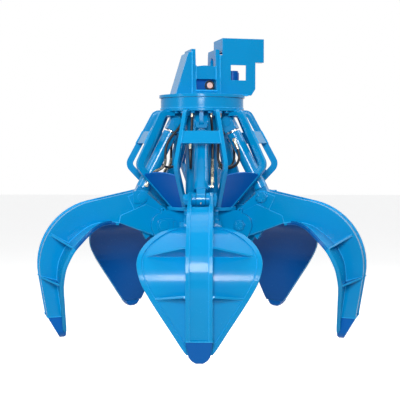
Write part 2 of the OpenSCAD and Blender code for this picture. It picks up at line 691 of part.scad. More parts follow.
module head_flange() color(paint) difference() {
    translate([0, 0, flange_low]) cylinder(d = flange_d, h = flange_t, $fn = ring_fn);
    head_frame() translate([pinion_x, 0, flange_low - cut])
        cylinder(r = shaft_r + side_gap, h = flange_t + 2 * cut);
    translate([0, 0, flange_low - cut]) cylinder(r = union_r, h = flange_t + 2 * cut);
}
module slew_pinion() color(steel) head_frame() translate([pinion_x, 0, drum_h + side_gap]) {
    linear_extrude(gear_h - side_gap) polygon(
        wheel(pinion_teeth, pinion_pitch_r - gear_module, pinion_pitch_r + 0.75 * gear_module, -backlash));
    cylinder(r = shaft_r, h = flange_top + motor_d / 4 - drum_h - side_gap);
}

// Hanger head: x runs along the hanger pin, y to the back
ear_x = hanger_gap / 2 + hanger_t;
head_rise = hanger_h + hanger_top - flange_top;
module hanger_ears() color(paint) head_frame() for (s = [0, 1]) mirror([s, 0, 0])
    translate([hanger_gap / 2, 0, 0]) rotate([90, 0, 90]) linear_extrude(hanger_t) difference() {
        polygon([[-0.613 * hanger_depth, flange_top], [0.637 * hanger_depth, flange_top],
                 [0.519 * hanger_depth, hanger_h + 0.8 * hanger_top],
                 [0.47 * hanger_depth, hanger_h + hanger_top],
                 [-0.458 * hanger_depth, hanger_h + hanger_top]]);
        translate([0, hanger_h]) circle(d = hanger_d);
    }
module ear_buttress() color(paint) head_frame() {
    top = flange_top + 0.918 * head_rise;
    outer = [[-ear_x, flange_top], [-2.15 * ear_x, flange_top], [-1.265 * ear_x, top], [-ear_x, top]];
    for (y = [-0.59, 0.33]) upright(y * hanger_depth, (y + 0.094) * hanger_depth) polygon(outer);
    upright(-0.5 * hanger_depth, 0.34 * hanger_depth)
        polygon(strip([outer[2], mix(outer[1], outer[2], 0.02)], 0, guard_t));
}
// Plates between the ears: an arched one and a sill in front, a lower one at the back
module cross_plates() color(paint) head_frame() {
    half = hanger_gap / 2;
    upright(-0.542 * hanger_depth, -0.448 * hanger_depth) polygon(concat(
        [[-half, flange_top + 0.345 * head_rise], [half, flange_top + 0.345 * head_rise]],
        [for (k = [0:8]) [half * (1 - k / 4), flange_top + head_rise * (0.616 + 0.026 * sin(22.5 * k))]]));
    upright(-0.59 * hanger_depth, -0.5 * hanger_depth)
        translate([-half, flange_top]) square([2 * half, 0.091 * head_rise]);
    upright(0.425 * hanger_depth, 0.52 * hanger_depth)
        translate([-half, flange_top]) square([2 * half, 0.3 * head_rise]);
}

// Motor guard: a tall front plate with a window, lips on its right side, a left wall, a roof
// and a back apron. The way of the hanger pin to the right stays open
guard_rise = hanger_h + guard_top - flange_top;
guard_shares = [[0.784, 0], [0.853, 0.115], [0.853, 0.587], [1, 0.587], [1, 1], [0.282, 1],
                [0.282, 0.705]];
window_shares = [[0.4265, 0.266], [0.691, 0.533]];
function on_guard(s) = [s[0] * guard_reach, flange_top + s[1] * guard_rise];
module motor_guard() color(paint) head_frame() {
    front = -0.528 * hanger_depth;
    lip = -0.25 * hanger_depth;
    back = 0.51 * hanger_depth;
    step = on_guard(guard_shares[2]);
    top = on_guard(guard_shares[4]);
    low = on_guard(guard_shares[6]);
    wall = 0.76 * (top[1] - low[1]);
    win = [for (s = window_shares) on_guard(s)];
    upright(front, front + guard_t) difference() {
        polygon(concat([[ear_x, flange_top]], [for (s = guard_shares) on_guard(s)], [[ear_x, low[1]]]));
        translate(win[0]) square(win[1] - win[0]);
    }
    upright(front + guard_t / 2, lip) {
        translate([top[0] - guard_t, step[1]]) square([guard_t, top[1] - step[1]]);
        translate([step[0] - guard_t, mix(step[1], flange_top, 0.75)])
            square([guard_t, 0.75 * (step[1] - flange_top) + guard_t]);
        translate([step[0] - guard_t, step[1]]) square([top[0] - step[0] + guard_t, guard_t]);
    }
    upright(front + guard_t / 2, back + guard_t / 2) {
        translate([low[0], top[1] - wall]) square([guard_t, wall]);
        translate([low[0], top[1] - guard_t]) square([top[0] - low[0], guard_t]);
    }
    upright(back, back + guard_t)
        translate([low[0], top[1] - wall]) square([top[0] - low[0], wall]);
}
module slew_motor() color(deep_paint) head_frame() translate([pinion_x, 0, flange_top]) difference() {
    union() {
        cylinder(d = 1.26 * motor_d, h = 0.76 * motor_d);
        cylinder(d = motor_d, h = 1.75 * motor_d);
        cylinder(d = 0.87 * motor_d, h = 1.87 * motor_d);
    }
    translate([0, 0, -cut]) cylinder(r = shaft_r + fit, h = motor_d / 3 + cut);
}
// Rotary union: a block between the ears with a plugged port, its spindle down the middle
module rotary_union() color(deep_paint) head_frame() {
    w = 0.93 * hanger_gap;
    translate([-w / 2, -0.42 * w, flange_top]) cube([w, 0.84 * w, w]);
    translate([0.277 * w, -0.41 * w, flange_top + 0.515 * w]) rotate([90, 0, 0]) {
        cylinder(r = 0.26 * w, h = 0.09 * w);
        cylinder(r = 0.158 * w, h = 0.16 * w);
    }
    translate([0, 0, drum_h - top_plate_t + side_gap])
        cylinder(r = union_r, h = flange_top - drum_h + top_plate_t - side_gap);
}

hung() hanger_ears();
hung() ear_buttress();
hung() cross_plates();
hung() motor_guard();
hung() slew_motor();
hung() rotary_union();
hung() head_flange();
hung() bearing_inner_race();
hung() slew_pinion();
hung() slew_drum();
hung() ring_gear();
hung() bearing_outer_race();
hung() top_plate();
hung() top_plate_bolts();
hung() rod_lugs();
hung() rod_pins();
hung() cage_straps();
hung() cage_bands();
hung() bowl_panels();
hung() centre_column();
hung() hub();
hung() hub_plate();
hung() hinge_pins();
hung() hinge_nuts();
for (i = [0:TINES - 1]) hung() {
    hinge_frame(i) tine_beam();
    hinge_frame(i) tine_shell();
    hinge_frame(i) tine_tooth();
    hinge_frame(i) pin_ends();
    cylinder_frame(i) cylinder_barrel();
    cylinder_frame(i) cylinder_rod();
    bay(i) tine_hoses();
}
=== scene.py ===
"""Looks of a hydraulic orange-peel grab: five tines on a cage that a motor turns under the
hanger head. The frame gives every place: its origin is the middle of the hanger pin, +Z up
and the front tine towards -Y. Everything is in metres."""

import json
import math

import bpy
from mathutils import Matrix, Vector


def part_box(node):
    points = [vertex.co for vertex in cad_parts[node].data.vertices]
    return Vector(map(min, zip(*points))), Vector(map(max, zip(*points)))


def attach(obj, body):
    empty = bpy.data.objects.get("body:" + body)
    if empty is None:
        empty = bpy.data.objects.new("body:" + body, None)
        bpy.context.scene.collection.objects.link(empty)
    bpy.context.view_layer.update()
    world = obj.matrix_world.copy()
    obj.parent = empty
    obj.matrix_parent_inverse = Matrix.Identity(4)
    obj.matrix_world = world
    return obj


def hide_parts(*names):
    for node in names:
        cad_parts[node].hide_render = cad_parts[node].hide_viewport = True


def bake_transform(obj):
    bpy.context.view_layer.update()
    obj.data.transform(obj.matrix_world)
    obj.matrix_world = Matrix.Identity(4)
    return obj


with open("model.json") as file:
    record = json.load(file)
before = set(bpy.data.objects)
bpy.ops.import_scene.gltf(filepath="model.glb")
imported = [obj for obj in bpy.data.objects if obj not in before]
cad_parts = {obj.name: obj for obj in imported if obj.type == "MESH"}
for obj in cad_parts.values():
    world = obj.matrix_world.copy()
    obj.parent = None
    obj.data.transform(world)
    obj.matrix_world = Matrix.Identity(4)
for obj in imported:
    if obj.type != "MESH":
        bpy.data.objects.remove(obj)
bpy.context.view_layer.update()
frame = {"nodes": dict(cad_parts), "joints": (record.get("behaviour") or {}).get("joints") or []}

# Camera
# A long lens at a little over half the grab's height, level with the lower end of the cage.
PHOTO_WIDTH_PX = 400
FOCAL_PX = 844
AXIS_OFFSET_PX = 2.02
CAMERA_DISTANCE = 5.836
CAMERA_HEIGHT = -0.543
CAMERA_ORBIT = math.radians(0.88)
CAMERA_PITCH = math.radians(3.84)

lens = bpy.data.cameras.new("photo_camera")
lens.sensor_width = 36
lens.lens = lens.sensor_width * FOCAL_PX / PHOTO_WIDTH_PX
lens.shift_x = -AXIS_OFFSET_PX / PHOTO_WIDTH_PX
lens.clip_end = 100
camera = bpy.data.objects.new("photo_camera", lens)
camera.location = (CAMERA_DISTANCE * math.sin(CAMERA_ORBIT),
                   -CAMERA_DISTANCE * math.cos(CAMERA_ORBIT), CAMERA_HEIGHT)
camera.rotation_euler = (math.pi / 2 - CAMERA_PITCH, 0, CAMERA_ORBIT)
bpy.context.scene.collection.objects.link(camera)
bpy.context.scene.camera = camera
bpy.context.scene.view_settings.view_transform = "Standard"


# Tine places
# Each bay looks outwards along its tine: x out, y to its left seen from above, z up. The
# places of the hinges and of the cylinders come from the joints of the frame. The lever is
# the way from a tine's hinge to its barrel pin.
SIDES = ["front", "right", "rear_right", "rear_left", "left"]
JOINTS = {joint["name"]: joint for joint in frame["joints"]}
hinge = Vector(JOINTS["right_close"]["pos_m"])
HINGE_OUT = math.hypot(hinge.x, hinge.y)
HINGE_UP = hinge.z
rod_pin = Vector(JOINTS["right_rod_swing"]["pos_m"])
ROD_PIN = Vector((math.hypot(rod_pin.x, rod_pin.y), 0, rod_pin.z))
TIP_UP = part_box("front_tooth")[0].z
LEVER = (0.145, 0.190)


def bay(side):
    """The matrix from a bay's own places, x out along the tine, to the frame's."""
    place = JOINTS[side + "_close"]["pos_m"]
    return Matrix.Rotation(math.atan2(place[1], place[0]), 4, "Z")


def slide_direction(side):
    """The direction of a cylinder in its bay, from the rod pin out to the barrel pin."""
    return bay(side).inverted() @ Vector(JOINTS[side + "_stroke"]["axis"])


def tine_place(side):
    """From a tine's own places, measured from its hinge, to the frame's."""
    return bay(side) @ Matrix.Translation((HINGE_OUT, 0, HINGE_UP))


# Shader writing
# Sockets of a material's tree take part in sums, and every other node comes from node().
class Value:
    """A socket that Python arithmetic works on, through Math nodes."""

    def __init__(self, shader, socket):
        self.shader, self.socket = shader, socket

    def math(self, operation, *others):
        """The outcome of a Math node on this value and others."""
        sockets = dict(enumerate((self, *others)))
        return self.shader.node("ShaderNodeMath", {"operation": operation}, sockets)

    def __add__(self, other): return self.math("ADD", other)
    def __mul__(self, other): return self.math("MULTIPLY", other)
    def __rsub__(self, other): return (self * -1) + other
    __radd__, __rmul__ = __add__, __mul__

    def between(self, low, high):
        """0 at low and below, 1 at high and above, smooth between."""
        settings = {"interpolation_type": "SMOOTHSTEP"}
        return self.shader.node("ShaderNodeMapRange", settings,
                                {"Value": self, "From Min": low, "From Max": high})


class Shader:
    """The node tree of a new material, or of a given world, while it is written."""

    def __init__(self, name, world=None):
        self.holder = world or bpy.data.materials.new(name)
        self.holder.use_nodes = True
        self.tree = self.holder.node_tree
        self.tree.nodes.clear()
        self.place = self.node("ShaderNodeTexCoord", output="Object")

    def node(self, kind, settings=None, sockets=None, output=0):
        """Adds a node, with its settings first and then its sockets, and gives one output."""
        made = self.tree.nodes.new(kind)
        for name, value in (settings or {}).items():
            setattr(made, name, value)
        for name, value in (sockets or {}).items():
            if isinstance(value, Value):
                self.tree.links.new(value.socket, made.inputs[name])
            else:
                made.inputs[name].default_value = value
        return Value(self, made.outputs[output])

    def noise(self, scale, detail=3, roughness=0.55):
        """Even noise over the object, with so many waves to the metre."""
        return self.node("ShaderNodeTexNoise", None, {
            "Vector": self.place, "Scale": scale, "Detail": detail, "Roughness": roughness})

    def mixed(self, factor, a, b):
        """A colour between a and b, each a colour or a link."""
        return self.node("ShaderNodeMix", {"data_type": "RGBA"}, {0: factor, 6: a, 7: b},
                         output=2)

    def dot(self, a, b):
        """How much two directions look the same way."""
        return self.node("ShaderNodeVectorMath", {"operation": "DOT_PRODUCT"}, {0: a, 1: b},
                         output="Value")

    def rounded(self, radius, samples):
        """The normal, rounded over edges."""
        return self.node("ShaderNodeBevel", {"samples": samples}, {"Radius": radius})

    def bump(self, height, strength, distance, normal=None):
        """The normal, moved by a height."""
        sockets = {"Strength": strength, "Distance": distance, "Height": height}
        if normal:
            sockets["Normal"] = normal
        return self.node("ShaderNodeBump", None, sockets)

    def surface(self, **sockets):
        """A Principled surface; a name's underscores stand for spaces."""
        named = {name.replace("_", " "): value for name, value in sockets.items()}
        return self.node("ShaderNodeBsdfPrincipled", None, named)

    def finish(self, surface, output="ShaderNodeOutputMaterial"):
        """Takes a surface to the output and gives the material."""
        self.tree.links.new(surface.socket, self.tree.nodes.new(output).inputs["Surface"])
        return self.holder


def dress(material, *nodes):
    """Gives CAD nodes a material."""
    for name in nodes:
        slots = frame["nodes"][name].data.materials
        slots.clear()
        slots.append(material)


# Shapes
# A shape is a list of points and a list of faces; make() joins shapes to one piece.
def turned(profile, sides, place):
    """A shape turned round Z from (radius, height) pairs, outwards for rising heights. It is
    closed when the profile starts and ends on the axis, or ends where it starts."""
    points, faces, rings = [], [], {}
    for radius, height in dict.fromkeys(profile):
        count = sides if radius > 0 else 1
        rings[radius, height] = range(len(points), len(points) + count)
        for k in range(count):
            a = 2 * math.pi * k / sides
            points.append(place @ Vector((radius * math.cos(a), radius * math.sin(a), height)))
    for below, above in zip(profile, profile[1:]):
        low, high = rings[below], rings[above]
        for k in range(sides):
            n = (k + 1) % sides
            corners = [low[k % len(low)], low[n % len(low)],
                       high[n % len(high)], high[k % len(high)]]
            faces.append(tuple(dict.fromkeys(corners)))
    return points, faces


def curve_spline(points, steps):
    """A smooth line through the points, with so many steps from each to the next."""
    line = []
    for i in range(len(points) - 1):
        a, b = Vector(points[max(i - 1, 0)]), Vector(points[i])
        c, d = Vector(points[i + 1]), Vector(points[min(i + 2, len(points) - 1)])
        for k in range(steps):
            t = k / steps
            line.append((2 * b + (c - a) * t + (2 * a - 5 * b + 4 * c - d) * t * t
                         + (3 * b - a - 3 * c + d) * t ** 3) / 2)
    return line + [Vector(points[-1])]


def arc(centre, radius, start, end, steps):
    """Points in a bay's upright plane, as (x, z), angles in degrees."""
    angles = [math.radians(start + (end - start) * k / steps) for k in range(steps + 1)]
    return [(centre[0] + radius * math.cos(a), centre[1] + radius * math.sin(a)) for a in angles]


def followed(line):
    """A frame (place, side, side) at each point of a line, turned as little as it can be."""
    frames, across = [], None
    for i, point in enumerate(line):
        ahead = (line[min(i + 1, len(line) - 1)] - line[max(i - 1, 0)]).normalized()
        if across is None:
            across = ahead.orthogonal().normalized()
        across = (across - ahead * across.dot(ahead)).normalized()
        frames.append((point, across, ahead.cross(across)))
    return frames


def tube(line, radius, sides):
    """A closed round tube along a line."""
    points, faces = [], []
    for place, across, up in followed(line):
        for k in range(sides):
            a = 2 * math.pi * k / sides
            points.append(place + radius * (math.cos(a) * across + math.sin(a) * up))
    for i in range(len(line) - 1):
        for k in range(sides):
            n = (k + 1) % sides
            faces.append((i * sides + k, i * sides + n, (i + 1) * sides + n, (i + 1) * sides + k))
    last = (len(line) - 1) * sides
    return points, faces + [tuple(range(sides))[::-1], tuple(range(last, last + sides))]


def make(name, shapes, material, body=None, sharp=32):
    """One piece from shapes, smooth but for edges sharper than so many degrees."""
    points, faces = [], []
    for some_points, some_faces in shapes:
        first = len(points)
        points += [tuple(p) for p in some_points]
        faces += [tuple(first + k for k in face) for face in some_faces]
    mesh = bpy.data.meshes.new(name)
    mesh.from_pydata(points, [], faces)
    mesh.materials.append(material)
    mesh.shade_smooth()
    mesh.set_sharp_from_angle(angle=math.radians(sharp))
    piece = bpy.data.objects.new(name, mesh)
    bpy.context.scene.collection.objects.link(piece)
    if body:
        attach(piece, body)
    return piece


def facing(point, direction):
    """The place whose Z looks along a direction from a point."""
    return Matrix.Translation(point) @ Vector(direction).to_track_quat("Z", "Y").to_matrix().to_4x4()


# Metals
# Plated fittings are yellowish zinc with fine turning marks, and working steel is greased.
def metal(name, colour, dark, gloss, marks=900):
    """Bare metal, clouded between two colours, with fine marks of so many to the metre."""
    shader = Shader(name)
    cloud = shader.noise(26, 4).between(0.3, 0.72)
    fine = shader.noise(marks, 2)
    tint = shader.mixed(cloud, colour, dark)
    rough = gloss + cloud * 0.14 + fine * 0.08
    return shader.finish(shader.surface(Base_Color=tint, Roughness=rough, Metallic=1.0,
                                        Normal=shader.bump(fine, 0.12, 0.0004)))


zinc = metal("plated_zinc", (0.80, 0.74, 0.58, 1), (0.62, 0.55, 0.40, 1), 0.24)
greased_steel = metal("greased_steel", (0.34, 0.34, 0.33, 1), (0.10, 0.09, 0.07, 1), 0.22, 400)


# Hydraulic hoses
# Two 17 mm wire-braid hoses a cylinder run from the oil block under the top plate to the
# ports on the barrel. Their crimped steel ends are plated, and a wire coil guards the low one.
HOSE_RADIUS = 0.0085
HOSE_SIDES = 20
HOSE_STEPS = 6
HIGH_ROUTE = [
    (0.150, -0.062, -0.328), (0.147, -0.066, -0.415), (0.1425, -0.070, -0.525),
    (0.140, -0.072, -0.635), (0.150, -0.072, -0.672), (0.177, -0.072, -0.699),
    (0.214, -0.072, -0.709), (0.251, -0.072, -0.699), (0.278, -0.072, -0.672),
    (0.288, -0.072, -0.635), (0.2815, -0.072, -0.587), (0.2642, -0.0717, -0.5452)]
LOW_ROUTE = [
    (0.150, 0.062, -0.328), (0.158, 0.066, -0.395), (0.195, 0.070, -0.450),
    (0.240, 0.072, -0.500), (0.272, 0.073, -0.557), (0.280, 0.073, -0.615),
    (0.280, 0.073, -0.655), (0.286, 0.0728, -0.685), (0.305, 0.0726, -0.709),
    (0.3315, 0.0723, -0.7226), (0.3575, 0.0721, -0.7358), (0.3754, 0.0718, -0.7578),
    (0.3963, 0.0717, -0.7976)]
SLEEVE = [(0.0088, 0), (0.0112, 0.0005), (0.0112, 0.006), (0.0104, 0.0068), (0.0112, 0.0076),
          (0.0112, 0.0124), (0.0104, 0.0132), (0.0112, 0.014), (0.0112, 0.0188),
          (0.0104, 0.0196), (0.0112, 0.0204), (0.0112, 0.0260), (0.0100, 0.0275), (0.0088, 0.0275),
          (0.0088, 0)]
NUT = [(0.0094, 0.0002), (0.0118, 0.0008), (0.0130, 0.0020), (0.0130, 0.0110), (0.0118, 0.0122),
       (0.0094, 0.0128), (0.0094, 0.0002)]
GUARD_WIRE = 0.0013
GUARD_PITCH = 0.0085
GUARD_TURN_STEPS = 12
GUARDED_SHARES = (0.46, 0.93)
RAISED_SLEEVE = Matrix.Translation((0, 0, 0.0125))


def hose_rubber():
    """Black cover rubber with the print of the cloth it was cured in."""
    shader = Shader("hose_rubber")
    weave = shader.noise(820, 2, 0.6)
    scuff = shader.noise(34, 5, 0.6).between(0.56, 0.72)
    black = shader.mixed(scuff, (0.012, 0.013, 0.016, 1), (0.050, 0.055, 0.065, 1))
    return shader.finish(shader.surface(
        Base_Color=black, Roughness=0.42 + scuff * 0.2,
        Normal=shader.bump(weave, 0.35, 0.0006), Specular_IOR_Level=0.4))


rubber = hose_rubber()


def guard_coil(line):
    """The helix of a spring guard round the lower part of a hose."""
    frames = followed(line)
    radius = HOSE_RADIUS + 1.1 * GUARD_WIRE
    helix, travelled = [], 0
    for (a, across_a, up_a), (b, across_b, up_b) in zip(frames, frames[1:]):
        span = (b - a).length
        steps = max(1, round(span / GUARD_PITCH * GUARD_TURN_STEPS))
        for k in range(steps):
            t = k / steps
            angle = 2 * math.pi * (travelled + t * span) / GUARD_PITCH
            across, up = across_a.lerp(across_b, t), up_a.lerp(up_b, t)
            helix.append(a.lerp(b, t) + radius * (math.cos(angle) * across
                                                  + math.sin(angle) * up))
        travelled += span
    return tube(helix, GUARD_WIRE, 6)


for side in SIDES:
    for level, route in (("high", HIGH_ROUTE), ("low", LOW_ROUTE)):
        line = [bay(side) @ p for p in curve_spline(route, HOSE_STEPS)]
        length = sum((b - a).length for a, b in zip(line, line[1:]))
        hose = make(f"{side}_{level}_hose", [tube(line, HOSE_RADIUS, HOSE_SIDES)], rubber)
        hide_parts(side + "_hoses")
        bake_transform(hose)
        top, end = facing(line[0], line[1] - line[0]), facing(line[-1], line[-2] - line[-1])
        fittings = [
            make(f"{side}_{level}_top_sleeve", [turned(SLEEVE, 20, top @ RAISED_SLEEVE),
                                                turned(NUT, 6, top)], zinc,
                 side + "_rod_body"),
            make(f"{side}_{level}_end_sleeve", [turned(SLEEVE, 20, end @ RAISED_SLEEVE),
                                                turned(NUT, 6, end)], zinc,
                 side + "_barrel_body")]
        if level == "low":
            start, end = (round(share * len(line)) for share in GUARDED_SHARES)
            guard = make(f"{side}_hose_guard", [guard_coil(line[start:end])], zinc)
            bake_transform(guard)
            fittings.append(guard)


# Studio
# The grab hangs over a pale floor in a white room. A small bright box in front puts the bands
# of gloss on the curved plates, a wide one above gives most of the light, and the rest fill.
FLOOR_GAP = 0.9
FLOOR_SIZE = 60
FLOOR_GLOW = 0.80
ROOM_LIGHT = 0.10
WHITE = (1, 1, 1, 1)
SOFT_BOXES = [  # name, place, target, size, power
    ("front_box", (-0.1, -6.4, 0.80), (0, 0, -1.1), (1.4, 1.7), 315),
    ("top_box", (0.0, 0.6, 3.8), (0, 0, -0.6), (7.0, 4.5), 240),
    ("left_box", (-4.2, -2.6, 0.8), (0, 0, -0.9), (0.9, 3.0), 65),
    ("right_box", (5.0, 0.6, 1.8), (0, 0, -0.9), (2.5, 2.5), 90),
    ("back_box", (0.8, 4.4, 3.4), (0, 0, -0.9), (4.0, 2.0), 170)]


def white_to_the_eye(shader, seen, unseen):
    """The seen surface for camera, glossy and transmission rays, the unseen for others."""
    rays = [shader.node("ShaderNodeLightPath", output=name)
            for name in ("Is Camera Ray", "Is Glossy Ray", "Is Transmission Ray")]
    eye = rays[0].math("MAXIMUM", rays[1]).math("MAXIMUM", rays[2])
    return shader.node("ShaderNodeMixShader", None, {0: eye, 1: unseen, 2: seen})


def studio_floor():
    """Paper that is white to the eye, and dimmer as a light on the grab."""
    mesh = bpy.data.meshes.new("studio_floor")
    half = FLOOR_SIZE / 2
    z = TIP_UP - FLOOR_GAP
    mesh.from_pydata([(-half, -half, z), (half, -half, z), (half, half, z), (-half, half, z)],
                     [], [(0, 1, 2, 3)])
    floor = bpy.data.objects.new("studio_floor", mesh)
    bpy.context.scene.collection.objects.link(floor)
    shader = Shader("studio_floor")
    cloudy = shader.noise(0.7).between(0.3, 0.7)
    pale = shader.mixed(cloudy, (0.80, 0.80, 0.80, 1), (0.84, 0.84, 0.84, 1))
    paper = shader.surface(Base_Color=pale, Roughness=0.9, Specular_IOR_Level=0.1)
    glow = shader.node("ShaderNodeEmission", None, {
        "Color": WHITE, "Strength": FLOOR_GLOW})
    lit = shader.node("ShaderNodeAddShader", None, {0: paper, 1: glow})
    dim = shader.surface(Base_Color=(0.38, 0.38, 0.38, 1), Roughness=0.9)
    mesh.materials.append(shader.finish(white_to_the_eye(shader, lit, dim)))


def soft_box(name, place, target, size, power):
    """A rectangular lamp that looks from its place at a target."""
    light = bpy.data.lights.new(name, "AREA")
    light.shape = "RECTANGLE"
    light.size, light.size_y = size
    light.energy = power
    box = bpy.data.objects.new(name, light)
    box.location = place
    box.rotation_euler = (Vector(target) - Vector(place)).to_track_quat("-Z", "Y").to_euler()
    bpy.context.scene.collection.objects.link(box)


def studio_world():
    """White to the eye, and a weak even light on the grab."""
    world = bpy.data.worlds.new("studio_world")
    bpy.context.scene.world = world
    shader = Shader("studio_world", world)
    white = shader.node("ShaderNodeBackground", None, {"Color": WHITE, "Strength": 1.0})
    room = shader.node("ShaderNodeBackground", None, {
        "Color": (0.93, 0.96, 1.0, 1), "Strength": ROOM_LIGHT})
    shader.finish(white_to_the_eye(shader, white, room), "ShaderNodeOutputWorld")


studio_floor()
studio_world()
for box in SOFT_BOXES:
    soft_box(*box)


# Paint
# Two-pack machine enamel over blasted steel, glossy and thick. It is painted paler along every sharp
# edge, a painted highlight for the light the edges catch, and it lies in a faint orange peel on the
# plates.
ROLLED_STEP = 0.030
# The pale colours are painted highlights for sharp edges.
CYAN = (0.0, 0.272, 0.600, 1)
CYAN_PALE = (0.03, 0.43, 0.82, 1)
# The deep blue is the cyan enamel darkened: painted shade for parts that lie in shadow, the bowl
# panels, the slew motor and the rotary union.
SHADED_CYAN = (0.0, 0.105, 0.440, 1)
SHADED_CYAN_PALE = (0.01, 0.30, 0.74, 1)


def run_smooth(shader, round_edge, straight):
    """The normal rounded over sharp edges, and run smoothly over the shallow steps of a plate
    that is rolled to a curve."""
    rolled = shader.rounded(ROLLED_STEP, 8)
    shallow = shader.dot(rolled, straight).between(0.988, 0.9965)
    joined = shader.node("ShaderNodeMix", {"data_type": "VECTOR"},
                         {0: shallow, 4: round_edge, 5: rolled}, output=1)
    return shader.node("ShaderNodeVectorMath", {"operation": "NORMALIZE"}, {0: joined})


def darker(colour):
    """A coat of the same paint that lies thicker."""
    return tuple(0.80 * c for c in colour[:3]) + (1,)


def enamel(name, colour, pale, gloss=0.12, edge=0.004, inside=None, outwards=None):
    """Glossy enamel: colour on the plates, a pale painted highlight along every sharp edge, and,
    when a colour inside is given, painted shade on faces that look against the direction outwards."""
    shader = Shader(name)
    round_edge = shader.rounded(edge, 6)
    straight = shader.node("ShaderNodeNewGeometry", output="Normal")
    # Painted highlight: the colour turns pale along sharp edges, where the rounded normal leaves the
    # straight one.
    edge_highlight = 1 - shader.dot(round_edge, straight).between(0.80, 0.995)
    normal = run_smooth(shader, round_edge, straight)
    drift = shader.noise(2.2, 4).between(0.25, 0.75)
    speck = shader.noise(95, 2).between(0.62, 0.74)
    clouds = shader.mixed(drift * 0.35, colour, darker(colour))
    # Painted shade: faces that look against the outward direction take the darker inside colour.
    if inside:
        facing_out = shader.dot(shader.node("ShaderNodeTexCoord", output="Normal"),
                                tuple(outwards))
        clouds = shader.mixed(1 - facing_out.between(-0.25, -0.15), clouds, inside)
    edge_highlighted = shader.mixed(edge_highlight * 0.85, clouds, pale)
    dusty = shader.mixed(speck * 0.10, edge_highlighted, pale)
    peel = shader.noise(150, 1) * 0.6 + shader.noise(38, 2) * 0.4
    bumped = shader.bump(peel, 0.05, 0.002, normal)
    rough = gloss + shader.noise(7, 4) * 0.10 + speck * 0.12
    return shader.finish(shader.surface(
        Base_Color=dusty, Roughness=rough, Normal=bumped, Specular_IOR_Level=0.13))


cyan_enamel = enamel("cyan_enamel", CYAN, CYAN_PALE)
shaded_enamel = enamel("shaded_enamel", SHADED_CYAN, SHADED_CYAN_PALE, gloss=0.30)


# Welding
# Every plate is joined by fillet welds laid in one pass, whose ripples show under the paint as a
# string of small overlapping scales. Their enamel is painted paler, a painted highlight for the
# glint on the ripples.
WELD_LEG = 0.0042
WELD_PITCH = 0.0052


def tree_input(tree, name, kind, default=None):
    """Adds a named input to a tree and gives its identifier."""
    socket = tree.interface.new_socket(name, in_out="INPUT", socket_type=kind)
    if default is not None:
        socket.default_value = default
    return socket.identifier


def geometry_tree(name, inputs):
    """A Geometry Nodes tree with named inputs: gives the tree, its input node, an adder and
    the identifiers of the inputs."""
    tree = bpy.data.node_groups.new(name, "GeometryNodeTree")
    tree.is_modifier = True
    tree.interface.new_socket("Geometry", in_out="OUTPUT", socket_type="NodeSocketGeometry")
    tree_input(tree, "Geometry", "NodeSocketGeometry")
    keys = {key: tree_input(tree, key, kind, default) for key, kind, default in inputs}
    entry = tree.nodes.new("NodeGroupInput")

    def add(kind, settings=None, **sockets):
        """Adds a node; underscores in a socket's name stand for spaces."""
        made = tree.nodes.new(kind)
        for key, value in (settings or {}).items():
            setattr(made, key, value)
        for key, value in sockets.items():
            socket = made.inputs[key.replace("_", " ")]
            if isinstance(value, bpy.types.NodeSocket):
                tree.links.new(value, socket)
            else:
                socket.default_value = value
        return made

    return tree, entry.outputs, add, keys


def end_tree(tree, add, geometry, material):
    """Real faces, smooth shaded, in one material."""
    real = add("GeometryNodeRealizeInstances", Geometry=geometry)
    smooth = add("GeometryNodeSetShadeSmooth", Geometry=real.outputs[0])
    painted = add("GeometryNodeSetMaterial", Geometry=smooth.outputs[0], Material=material)
    tree.links.new(painted.outputs[0], tree.nodes.new("NodeGroupOutput").inputs[0])


def weld_tree():
    """Scales set along every line of the mesh, each turned to the line."""
    tree, given, add, keys = geometry_tree("weld_scales", [
        ("Leg", "NodeSocketFloat", WELD_LEG), ("Pitch", "NodeSocketFloat", WELD_PITCH),
        ("Seed", "NodeSocketInt", 7), ("Material", "NodeSocketMaterial", None)])
    line = add("GeometryNodeMeshToCurve", Mesh=given["Geometry"])
    steps = add("GeometryNodeResampleCurve", {"mode": "LENGTH"}, Curve=line.outputs[0],
                Length=given["Pitch"])
    scale = add("GeometryNodeMeshUVSphere", Segments=8, Rings=5, Radius=1.0)
    along = add("FunctionNodeAlignRotationToVector", {"axis": "Z"},
                Vector=add("GeometryNodeInputTangent").outputs[0])
    uneven = add("FunctionNodeRandomValue", {"data_type": "FLOAT"}, Seed=given["Seed"])
    uneven.inputs[2].default_value, uneven.inputs[3].default_value = 0.86, 1.12
    round_size = add("ShaderNodeMath", {"operation": "MULTIPLY"})
    tree.links.new(uneven.outputs[1], round_size.inputs[0])
    tree.links.new(given["Leg"], round_size.inputs[1])
    size = add("ShaderNodeCombineXYZ", X=round_size.outputs[0], Y=round_size.outputs[0],
               Z=given["Pitch"])
    set_out = add("GeometryNodeInstanceOnPoints", Points=steps.outputs[0],
                  Instance=scale.outputs[0], Rotation=along.outputs[0], Scale=size.outputs[0])
    end_tree(tree, add, set_out.outputs[0], given["Material"])
    return tree, keys


def run_tree(name, tree, keys, mesh, values):
    """One plain mesh piece from a tree run on a mesh."""
    carrier = bpy.data.objects.new(name + "_lines", mesh)
    bpy.context.scene.collection.objects.link(carrier)
    modifier = carrier.modifiers.new("made", "NODES")
    modifier.node_group = tree
    for key, value in values.items():
        modifier[keys[key]] = value
    bpy.context.view_layer.update()
    done = bpy.data.meshes.new_from_object(
        carrier.evaluated_get(bpy.context.evaluated_depsgraph_get()))
    bpy.data.objects.remove(carrier)
    piece = bpy.data.objects.new(name, done)
    done.name = name
    bpy.context.scene.collection.objects.link(piece)
    return piece


